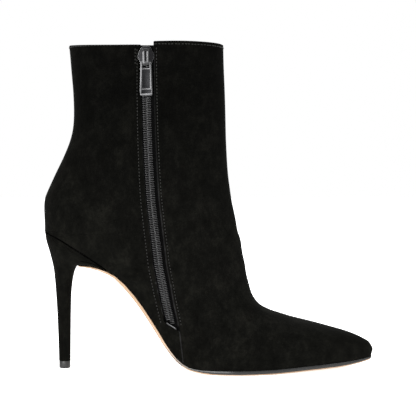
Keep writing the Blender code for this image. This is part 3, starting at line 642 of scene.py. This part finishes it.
def seat_filler():
    """A thin bed with the heel's seat as its underside."""
    bed = merged_copy("heel", "seat_filler")
    bpy.ops.object.mode_set(mode="EDIT")
    bpy.ops.mesh.select_mode(type="FACE")
    bpy.ops.mesh.select_all(action="DESELECT")
    bpy.ops.object.mode_set(mode="OBJECT")
    for face in bed.data.polygons:
        face.select = face.normal.z < SEAT_UP
    bpy.ops.object.mode_set(mode="EDIT")
    bpy.ops.mesh.delete(type="FACE")
    bpy.ops.object.mode_set(mode="OBJECT")
    corners = np.array([tuple(vertex.co) for vertex in bed.data.vertices])
    order = corners[:, 0].argsort()
    back = corners[:, 0].min()
    for vertex in bed.data.vertices:
        x = back + FILLER_BACK + FILLER_SHARE * (vertex.co.x - back)
        z = np.interp(x, corners[order, 0], corners[order, 2])
        vertex.co = Vector((x, FILLER_SHARE * vertex.co.y, z - SEAM_OPEN))
    bpy.ops.object.mode_set(mode="EDIT")
    bpy.ops.mesh.select_all(action="SELECT")
    rise = (0.0, 0.0, FILLER_HIGH)
    bpy.ops.mesh.extrude_region_move(TRANSFORM_OT_translate={"value": rise})
    bpy.ops.mesh.select_all(action="SELECT")
    bpy.ops.mesh.normals_make_consistent(inside=False)
    bpy.ops.object.mode_set(mode="OBJECT")
    # painted shade: the bed is flat black for the seam's shadow
    bed.data.materials.append(painted_shade)
    return bed


filler = seat_filler()
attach(filler, "boot")
print("filler", len(filler.data.polygons), "faces")

# %% [markdown]
# ## Top lift
#
# The heel stands on a small rubber block. It gets a narrow bevel where the cutter broke its
# edges.

# %% Top lift
tip = merged_copy("top_lift", "heel_tip")
tip.data.materials.append(tip_rubber)
round_edges(tip, 0.15 * MM, angle=35)
smooth_shading(tip, angle=40)
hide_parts("top_lift")
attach(tip, "boot")
print("tip", len(tip.data.polygons), "faces")

# %% [markdown]
# ## Sole
#
# The sole is cut from tan leather. Its edge is left natural under the arch, and towards the
# ball the ink begins: its colour runs from tan to black over two centimetres of the shoe's
# length. The slanted lower edge shows tan again, where a knife trimmed the ink. So the finish
# goes by face: the faces that look sideways or up carry the edge's finish, and those that look
# down stay bare leather. The sole's thin flap is skived so far up the heel's breast that it
# ends inside the suede.

# %% Sole and sock
FLAP_END = 16.0 * MM
FLAP_SKIVE = 3.4 * MM
LOOKS_DOWN = -0.45

sole = merged_copy("outsole", "leather_sole")
sole.data.materials.append(sole_leather)
sole.data.materials.append(edge_paint)
for vertex in sole.data.vertices:
    if vertex.co.x < FLAP_END:
        vertex.co.x -= FLAP_SKIVE
round_edges(sole, 0.3 * MM, angle=28)
for polygon in sole.data.polygons:
    polygon.material_index = int(polygon.normal.z > LOOKS_DOWN)
smooth_shading(sole, angle=28)
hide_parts("outsole")
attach(sole, "boot")

sock = merged_copy("insole", "leather_sock")
sock.data.materials.append(sock_leather)
round_edges(sock, 0.5 * MM, segments=3, angle=40)
smooth_shading(sock, angle=35)
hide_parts("insole")
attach(sock, "boot")
print("sole", len(sole.data.polygons), "sock", len(sock.data.polygons))

# %% [markdown]
# ## Finding the zip's line
#
# Coils and stitches follow the zip, so its middle line is read from the chain's own node. A
# level cut through that node gives the chain's left and right edge at a height, and a ray from
# the front finds the outer face there. The chain's lower end is slanted, so the cuts stop above
# it and the line runs on straight to the middle of that end.

# %% The zip's line
SLANT_ABOVE = 7.0 * MM
SLANT_MIDDLE = 2.9 * MM
CUT_BELOW_TOP = 0.6 * MM
CUTS = 120
END_CUTS = 12
IN_FRONT = -0.2
POINT_PASSES = 4
OUT_PASSES = 12


class Skin:
    """A node or piece that can be asked where a ray meets it."""

    def __init__(self, mesh):
        self.points = np.array([tuple(vertex.co) for vertex in mesh.vertices])
        self.edges = np.array([tuple(edge.vertices) for edge in mesh.edges])
        self.tree = BVHTree.FromPolygons(
            [vertex.co for vertex in mesh.vertices],
            [tuple(polygon.vertices) for polygon in mesh.polygons],
        )

    def level_cut(self, height):
        """Where the mesh's edges cross a height."""
        a, b = self.points[self.edges[:, 0]], self.points[self.edges[:, 1]]
        crosses = (a[:, 2] - height) * (b[:, 2] - height) < 0
        a, b = a[crosses], b[crosses]
        share = (height - a[:, 2]) / (b[:, 2] - a[:, 2])
        return a + share[:, None] * (b - a)

    def hit(self, start, direction):
        """Where a ray meets the mesh, and the way out there."""
        place, normal, _, _ = self.tree.ray_cast(Vector(start), Vector(direction))
        return place, normal


chain_guide = merged_copy("zip_chain", "chain_guide")
chain_skin = Skin(chain_guide.data)
bpy.data.objects.remove(chain_guide, do_unlink=True)


def middle_of_chain():
    """Points down the chain's outer face, and the way out of the shoe at each of them."""
    heights = chain_skin.points[:, 2]
    bottom, top = heights.min(), heights.max()
    points, outs = [], []
    for height in np.linspace(top - CUT_BELOW_TOP, bottom + SLANT_ABOVE, CUTS):
        cut = chain_skin.level_cut(height)
        x = (cut[:, 0].min() + cut[:, 0].max()) / 2
        place, normal = chain_skin.hit((x, IN_FRONT, height), (0, 1, 0))
        if place is None:
            continue
        points.append(np.array(place))
        outs.append(np.array(normal))
    run = points[-1] - points[-END_CUTS]
    points.append(points[-1] + run * (bottom + SLANT_MIDDLE - points[-1][2]) / run[2])
    outs.append(outs[-1])
    return np.array(points), np.array(outs)


def smoothed(rows, passes):
    """Each row drawn towards the mean of its neighbours, again and again."""
    for _ in range(passes):
        rows[1:-1] = 0.25 * rows[:-2] + 0.5 * rows[1:-1] + 0.25 * rows[2:]
    return rows


class ZipLine:
    """The zip's middle line, asked by length from the top."""

    def __init__(self):
        self.points, self.outs = middle_of_chain()
        self.points = smoothed(self.points, POINT_PASSES)
        self.outs = smoothed(self.outs, OUT_PASSES)
        steps = np.linalg.norm(np.diff(self.points, axis=0), axis=1)
        self.lengths = np.concatenate([[0], np.cumsum(steps)])
        self.length = self.lengths[-1]

    def point(self, length):
        """The place at a length. Past the end the line runs on straight."""
        here = np.array([np.interp(length, self.lengths, self.points[:, k]) for k in range(3)])
        beyond = max(length - self.length, 0)
        run = self.points[-1] - self.points[-2]
        return here + beyond * run / np.linalg.norm(run)

    def axes(self, length):
        """Across to the toe, down the zip and out of the shoe."""
        down = Vector(self.point(length + MM) - self.point(max(length - MM, 0))).normalized()
        out = Vector([np.interp(length, self.lengths, self.outs[:, k]) for k in range(3)])
        across = out.normalized().cross(down).normalized()
        square = across.cross(down).normalized()
        return across, down, square if square.dot(out) > 0 else -square


zip_line = ZipLine()
print("zip length", round(zip_line.length / MM, 1), "mm")
for axis_name, axis in zip(("across", "down", "out"), zip_line.axes(zip_line.length / 2)):
    print(axis_name, "at the middle:", tuple(round(share, 2) for share in axis))

# %% [markdown]
# ## Copies of a small form
#
# Coils and stitches repeat by the hundred. One is modelled as a master at the origin, with X
# across, Y down the line and Z out of the shoe. Masters are drawn out of a six-sided ring, and
# a table then says how wide and how high each ring is. A helper places the master's mesh again
# and again and makes one piece of all the copies.

# %% Repeating a master
def repeated(master, places, name, finish):
    """One piece from many placed copies of a master. places are 4x4 matrices."""
    corners = np.array([tuple(vertex.co) for vertex in master.data.vertices])
    faces = [tuple(polygon.vertices) for polygon in master.data.polygons]
    points, polygons = [], []
    for matrix in places:
        turn = np.array(matrix)
        base = len(points) * len(corners)
        points.append(corners @ turn[:3, :3].T + turn[:3, 3])
        polygons += [tuple(base + i for i in face) for face in faces]
    mesh = bpy.data.meshes.new(name)
    mesh.from_pydata(np.concatenate(points).tolist(), [], polygons)
    mesh.materials.append(finish)
    mesh.shade_smooth()
    piece = bpy.data.objects.new(name, mesh)
    bpy.context.scene.collection.objects.link(piece)
    bpy.data.objects.remove(master, do_unlink=True)
    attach(piece, "boot")
    print(name, len(places), "copies,", len(mesh.polygons), "faces")
    return piece


def placed(point, across, down, out):
    """A matrix whose axes are across, down and out."""
    matrix = Matrix((across, down, out)).transposed().to_4x4()
    matrix.translation = Vector(point)
    return matrix


def drawn_out(rotation, step, rows):
    """A six-sided ring, extruded by one step for each further row of a table."""
    bpy.ops.mesh.primitive_circle_add(
        vertices=6, radius=1.0, fill_type="NGON", rotation=rotation
    )
    bar = bpy.context.active_object
    bpy.ops.object.transform_apply(location=True, rotation=True, scale=True)
    bpy.ops.object.mode_set(mode="EDIT")
    bpy.ops.mesh.select_all(action="SELECT")
    for _ in rows[1:]:
        bpy.ops.mesh.extrude_region_move(TRANSFORM_OT_translate={"value": step})
    bpy.ops.mesh.select_all(action="SELECT")
    bpy.ops.mesh.normals_make_consistent(inside=False)
    bpy.ops.object.mode_set(mode="OBJECT")
    select_only(bar)
    return bar


# %% [markdown]
# ## The coils
#
# Each half of this zip is a nylon thread wound in a flat coil and sewn to its tape. Closed, the
# loops of both halves hook into each other along the middle. One turn looks like a short bar
# that rises from the tape, runs in to the middle and dives under the other half. The master is
# drawn as that bar, with a ring for each row of its table.

# %% One turn of the coil
PITCH = 1.25 * MM
COIL_START = 1.2 * MM
COIL_END = 0.4 * MM
END_LEAN = 1.5 * MM
# distance from the middle, height above the chain's face, half thickness along the zip and half
# height, all in mm
TURN = (
    (3.15, -1.05, 0.20, 0.34),
    (2.95, -0.42, 0.23, 0.40),
    (2.35, -0.20, 0.23, 0.38),
    (1.10, -0.34, 0.20, 0.32),
    (0.30, -0.42, 0.25, 0.36),
    (-0.42, -0.62, 0.22, 0.30),
    (-0.66, -0.85, 0.14, 0.18),
)


def coil_turn():
    """One bar of the coil, from its outer side in to the middle."""
    turn = drawn_out((0, math.pi / 2, 0), (-1.0, 0.0, 0.0), TURN)
    for vertex in turn.data.vertices:
        reach, height, half_thick, half_high = TURN[round(-vertex.co.x)]
        vertex.co = Vector((reach, vertex.co.y * half_thick, height + vertex.co.z * half_high)) * MM
    return turn


def coil_places(side):
    """Where each turn of one half goes. The halves are half a pitch apart."""
    places = []
    start = COIL_START + (PITCH / 2 if side > 0 else 0)
    end = zip_line.length - COIL_END + side * END_LEAN
    for length in np.arange(start, end, PITCH):
        across, down, out = zip_line.axes(length)
        places.append(placed(zip_line.point(length), across * side, down * side, out))
    return places


coils = repeated(coil_turn(), coil_places(1) + coil_places(-1), "zip_coils", coil_nylon)
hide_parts("zip_chain")

# %% [markdown]
# ## Stitches
#
# The panels are folded back beside the zip and sewn to its tape with one row on each side. A stitch
# is a short bead of thread whose ends dive into the suede. At its head is the needle hole, drawn as
# a black disc of painted shade. Each stitch is set on the upper itself, where a ray from outside
# meets it. At the top of the back row a short second row locks the threads.

# %% One stitch and its rows
STITCH_PITCH = 2.35 * MM
HOLE_RADIUS = 0.42 * MM
HOLE_LIFT = 0.06 * MM
RAY_RISE = 12.0 * MM
# length down the zip in m, and how far across it each row lies there in mm
ROW_LENGTHS = (0, 0.045, 0.11, 0.19)
BACK_ROW = (-6.1, -6.6, -7.2, -7.2)
FRONT_ROW = (7.2, 7.3, 7.4, 7.7)
BACK_FIRST = 3.0 * MM
FRONT_FIRST = 2.0 * MM
# the back row ends this far above the zip's end, and the front row this far below it
ROW_END = 2.0 * MM
TACK_FIRST = 2.4 * MM
TACK_LAST = 12.0 * MM
# in mm, away from the zip
TACK_ASIDE = -1.3
# place along the stitch, height, half width, half height, all in mm
STITCH = (
    (-0.88, -0.20, 0.14, 0.10),
    (-0.62, 0.06, 0.32, 0.26),
    (0.00, 0.16, 0.37, 0.30),
    (0.62, 0.06, 0.32, 0.26),
    (0.88, -0.20, 0.14, 0.10),
)


def stitch_bead(shape=STITCH):
    """A bead of thread, or another short raised form with the same kind of table."""
    bead = drawn_out((math.pi / 2, 0, 0), (0.0, 1.0, 0.0), shape)
    for vertex in bead.data.vertices:
        along, height, half_wide, half_high = shape[round(vertex.co.y)]
        vertex.co = Vector((vertex.co.x * half_wide, along, height + vertex.co.z * half_high)) * MM
    return bead


upper_skin = Skin(upper.data)


def on_upper(length, across_by):
    """The upper's surface beside the zip's line, and the way out there."""
    across, down, out = zip_line.axes(length)
    start = Vector(zip_line.point(length)) + across * across_by + out * RAY_RISE
    place, normal = upper_skin.hit(start, -out)
    return place, normal, down


def needle_hole():
    """A flat disc of painted shade for a needle hole, a hair above the suede."""
    bpy.ops.mesh.primitive_circle_add(
        vertices=8, radius=HOLE_RADIUS, fill_type="NGON", location=(0, 0, HOLE_LIFT)
    )
    hole = bpy.context.active_object
    bpy.ops.object.transform_apply(location=True, rotation=True, scale=True)
    return hole


def holes_between(rows):
    """One hole at the head of each stitch, half a pitch behind its middle."""
    return [place @ Matrix.Translation((0, -STITCH_PITCH / 2, 0)) for place in rows]


def stitch_row(first, last, offsets, extra=0.0):
    """Places for a row of stitches beside the zip. extra, in mm, moves the whole row."""
    places = []
    for length in np.arange(first, last, STITCH_PITCH):
        across_by = (np.interp(length, ROW_LENGTHS, offsets) + extra) * MM
        place, normal, down = on_upper(length, across_by)
        if place is None:
            continue
        run = (down - normal * down.dot(normal)).normalized()
        side = run.cross(normal).normalized()
        places.append(placed(place, side, run, normal))
    return places


rows = stitch_row(BACK_FIRST, zip_line.length - ROW_END, BACK_ROW)
rows += stitch_row(FRONT_FIRST, zip_line.length + ROW_END, FRONT_ROW)
rows += stitch_row(TACK_FIRST, TACK_LAST, BACK_ROW, TACK_ASIDE)
stitches = repeated(stitch_bead(), rows, "zip_stitches", thread)
# painted shade: black discs where the needle holes are
holes = repeated(needle_hole(), holes_between(rows), "zip_needle_holes", painted_shade)

# %% [markdown]
# ## The folded edges
#
# Beside the coils, where the suede is folded back, its edge is painted lighter: a painted highlight
# where the fold catches the light. These faces are found by how far they lie across the zip's line,
# and take a lighter suede.

# %% Folds with a painted highlight
# across the zip's line, in mm
FOLD_BACK, FOLD_FRONT = -3.85, 5.6
FOLD_REACH = 0.55
# how many times lighter the painted highlight makes the suede
FOLD_HIGHLIGHT_GAIN = 3.4
FOLD_FROM_TOP = 3 * MM
FOLD_FROM_END = 2 * MM
LINE_SAMPLES = 160
BEHIND = 4 * MM
FAR_AWAY = 1e3
FOLD_HIGHLIGHT_SLOT = 3


def across_zip(mesh):
    """How far each face lies across the zip's line towards the toe, in mm, and how far down it, in
    m. Faces on the shoe's other side are far away."""
    centres = np.array([tuple(face.center) for face in mesh.polygons])
    lengths = np.linspace(0, zip_line.length, LINE_SAMPLES)
    line = np.array([zip_line.point(length) for length in lengths])
    sideways = np.array([tuple(zip_line.axes(length)[0]) for length in lengths])
    gaps = np.linalg.norm(centres[:, None, [0, 2]] - line[None][:, :, [0, 2]], axis=2)
    nearest = gaps.argmin(axis=1)
    across = ((centres - line[nearest]) * sideways[nearest]).sum(axis=1) / MM
    inner_side = centres[:, 1] < line[nearest][:, 1] + BEHIND
    return np.where(inner_side, across, FAR_AWAY), lengths[nearest]


# painted highlight: a copy of the suede with lighter colours, for the folds' edges
fold_highlight_suede = suede.copy()
fold_highlight_suede.name = "suede_fold_painted_highlight"
fold_highlight_ramp = next(node for node in fold_highlight_suede.node_tree.nodes if node.type == "VALTORGB")
for element in fold_highlight_ramp.color_ramp.elements:
    highlight_grey = FOLD_HIGHLIGHT_GAIN * element.color[1]
    element.color = (highlight_grey, highlight_grey, highlight_grey, 1.0)
upper.data.materials.append(fold_highlight_suede)
across, along = across_zip(upper.data)
painted_highlight_faces = np.minimum(abs(across - FOLD_FRONT), abs(across - FOLD_BACK)) < FOLD_REACH
painted_highlight_faces &= (along > FOLD_FROM_TOP) & (along < zip_line.length - FOLD_FROM_END)
for face, gets_highlight in zip(upper.data.polygons, painted_highlight_faces):
    if gets_highlight and face.material_index != INSIDE:
        face.material_index = FOLD_HIGHLIGHT_SLOT
print("fold faces", int(painted_highlight_faces.sum()))

# %% [markdown]
# ## The row under the collar
#
# The collar's edge is turned in and held by one more row of stitches. Going round the shaft, a
# level ray is lowered until it meets the skin, which gives the edge's height at that place. The
# stitch then sits a little lower.

# %% Collar stitches
COLLAR_CENTRE = Vector((0.0594, 0.0, 0.0))
COLLAR_DROP = 2.0 * MM
# from above the collar to below its lowest edge, in m
COLLAR_SEARCH = (0.2345, 0.2225)
SEARCH_LEVELS = 121
COLLAR_TURNS = 721
OUTSIDE_SHAFT = 0.12
FACES_RAY = 0.4


def on_shaft(direction, height):
    """Where a level ray from outside meets the shaft's outer face, or None."""
    start = COLLAR_CENTRE + direction * OUTSIDE_SHAFT + Vector((0, 0, height))
    place, normal = upper_skin.hit(start, -direction)
    if place is None or normal.dot(direction) <= FACES_RAY:
        return None
    return place, normal


def collar_spot(turn):
    """Place and way out of a collar stitch, or None where the zip's slot is open."""
    direction = Vector((math.cos(turn), math.sin(turn), 0))
    for height in np.linspace(*COLLAR_SEARCH, SEARCH_LEVELS):
        if on_shaft(direction, height):
            return on_shaft(direction, height - COLLAR_DROP)
    return None


def collar_row():
    """Stitches all the way round, one pitch apart."""
    spots = [collar_spot(turn) for turn in np.linspace(0, 2 * math.pi, COLLAR_TURNS)]
    places, since = [], 0.0
    for last, here in zip(spots, spots[1:]):
        if last is None or here is None:
            continue
        run = here[0] - last[0]
        if run.length > STITCH_PITCH:
            continue
        since += run.length
        if since < STITCH_PITCH:
            continue
        since -= STITCH_PITCH
        normal = here[1]
        along = (run - normal * run.dot(normal)).normalized()
        places.append(placed(here[0], along.cross(normal).normalized(), along, normal))
    return places


collar_places = collar_row()
collar_stitches = repeated(stitch_bead(), collar_places, "collar_stitches", thread)

# %% [markdown]
# ## Two short seams
#
# A narrow raised seam runs from the zip's end down to the sole, where the lining's edge lies under
# the suede. Its beads take the lighter suede of the folds, a painted highlight along the ridge. On
# the heel a fold of the cover is drawn as a fine line of painted shade above the sole's flap. Both
# are drawn in the side view and laid on the surface, link by link.

# %% Side seam and heel fold
# x and z in mm
SEAM_LINE = ((82.6, 36.0), (83.6, 30.0), (84.9, 19.0), (86.1, 8.6))
HEEL_FOLD_LINE = ((14.4, 78.6), (18.2, 78.1), (21.8, 77.2), (26.0, 75.2), (30.2, 72.6))
# place along the link, height, half width, half height, all in mm
SEAM_LINK = (
    (-1.3, -0.25, 0.25, 0.10),
    (-0.8, 0.0, 0.48, 0.26),
    (0.0, 0.0, 0.52, 0.30),
    (0.8, 0.0, 0.48, 0.26),
    (1.3, -0.25, 0.25, 0.10),
)
FOLD_LINK = ((-1.0, -0.10, 0.16, 0.05), (0.0, 0.04, 0.40, 0.12), (1.0, -0.10, 0.16, 0.05))
LINK_PITCH = 1.1 * MM
LOOK_AHEAD = 0.1 * MM


def side_line(skin, line):
    """Places along a line of the side view, on the skin that faces the camera."""
    points = np.array(line) * MM
    steps = np.linalg.norm(np.diff(points, axis=0), axis=1)
    lengths = np.concatenate([[0], np.cumsum(steps)])
    places = []
    for length in np.arange(0, lengths[-1] - LOOK_AHEAD, LINK_PITCH):
        here, ahead = (
            np.array([np.interp(at, lengths, points[:, k]) for k in range(2)])
            for at in (length, length + LOOK_AHEAD)
        )
        place, normal = skin.hit((here[0], IN_FRONT, here[1]), (0, 1, 0))
        if place is None:
            continue
        run = Vector((ahead[0] - here[0], 0, ahead[1] - here[1]))
        run = (run - normal * run.dot(normal)).normalized()
        places.append(placed(place, run.cross(normal).normalized(), run, normal))
    return places


seam_places = side_line(upper_skin, SEAM_LINE)
# painted highlight: the seam's beads take the lighter suede of the folds
side_seam = repeated(stitch_bead(SEAM_LINK), seam_places, "side_seam", fold_highlight_suede)
# painted shade: the heel's fold is a line of black beads
fold_places = side_line(Skin(heel.data), HEEL_FOLD_LINE)
heel_fold = repeated(stitch_bead(FOLD_LINK), fold_places, "heel_fold", painted_shade)

# %% [markdown]
# ## Tape and stop
#
# The tape is a woven band behind the slot, and the stop is a clamp over the last turns of the
# coil.

# %% Tape and stop
tape = merged_copy("zip_tape", "woven_tape")
tape.data.materials.append(tape_cloth)
round_edges(tape, 0.15 * MM, angle=40)
smooth_shading(tape, angle=40)
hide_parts("zip_tape")
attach(tape, "boot")

stop = merged_copy("zip_stop", "bottom_stop")
stop.data.materials.append(gunmetal)
round_edges(stop, 0.25 * MM)
smooth_shading(stop, angle=40)
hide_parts("zip_stop")
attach(stop, "boot")
print("tape", len(tape.data.polygons), "stop", len(stop.data.polygons), "faces")

# %% [markdown]
# ## Slider and pull
#
# Both are cast and plated dark. The bevelled edges carry a painted highlight, and the flat faces of
# the recesses a painted shade. The pull hangs on the bridge and is the one piece that moves, so it
# rides on its own body.

# %% Slider and pull
# slots of the painted shade and the painted highlight, after the plated body's own
RECESS_SHADE, EDGE_HIGHLIGHT = 1, 2
FLAT = 0.9
SAME_FACE = math.radians(2)
SLIDER_EDGE = 0.26 * MM
PULL_EDGE = 0.09 * MM
# levels of the recessed faces that get the painted shade
SLIDER_SHADE_LEVELS = (1.0 * MM, 1.8 * MM)
PULL_SHADE_LEVELS = (0.15 * MM, 0.75 * MM)


def thin_axis(piece):
    """The direction in which a flat piece is thinnest, pointing away from the shoe, and its lowest
    level along that direction."""
    corners = np.array([tuple(vertex.co) for vertex in piece.data.vertices])
    axis = np.linalg.svd(corners - corners.mean(axis=0))[2][2]
    if axis[1] > 0:
        axis = -axis
    return Vector(axis), (corners @ axis).min()


def paint_recess_shade(piece, from_level, to_level):
    """Give the painted shade to the flat faces between two levels, measured from the lowest."""
    axis, lowest = thin_axis(piece)
    for polygon in piece.data.polygons:
        level = polygon.center.dot(axis) - lowest
        if abs(polygon.normal.dot(axis)) > FLAT and from_level < level < to_level:
            polygon.material_index = RECESS_SHADE


def metal_piece(node, name, edge, levels):
    """A cast piece, with a painted shade in its recesses and a painted highlight along its edges.
    """
    piece = merged_copy(node, name)
    select_only(piece)
    bpy.ops.object.mode_set(mode="EDIT")
    bpy.ops.mesh.select_all(action="SELECT")
    bpy.ops.mesh.dissolve_limited(angle_limit=SAME_FACE)
    bpy.ops.object.mode_set(mode="OBJECT")
    for finish in (gunmetal, recess_shade_metal, edge_highlight_metal):
        piece.data.materials.append(finish)
    paint_recess_shade(piece, *levels)
    round_edges(piece, edge, finish=EDGE_HIGHLIGHT)
    smooth_shading(piece)
    return piece


slider = metal_piece("zip_slider", "zip_slider_cast", SLIDER_EDGE, SLIDER_SHADE_LEVELS)
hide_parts("zip_slider")
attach(slider, "boot")

pull = metal_piece("zip_pull", "pull_tab", PULL_EDGE, PULL_SHADE_LEVELS)
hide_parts("zip_pull")
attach(pull, "pull")
print("slider", len(slider.data.polygons), "pull", len(pull.data.polygons), "faces")
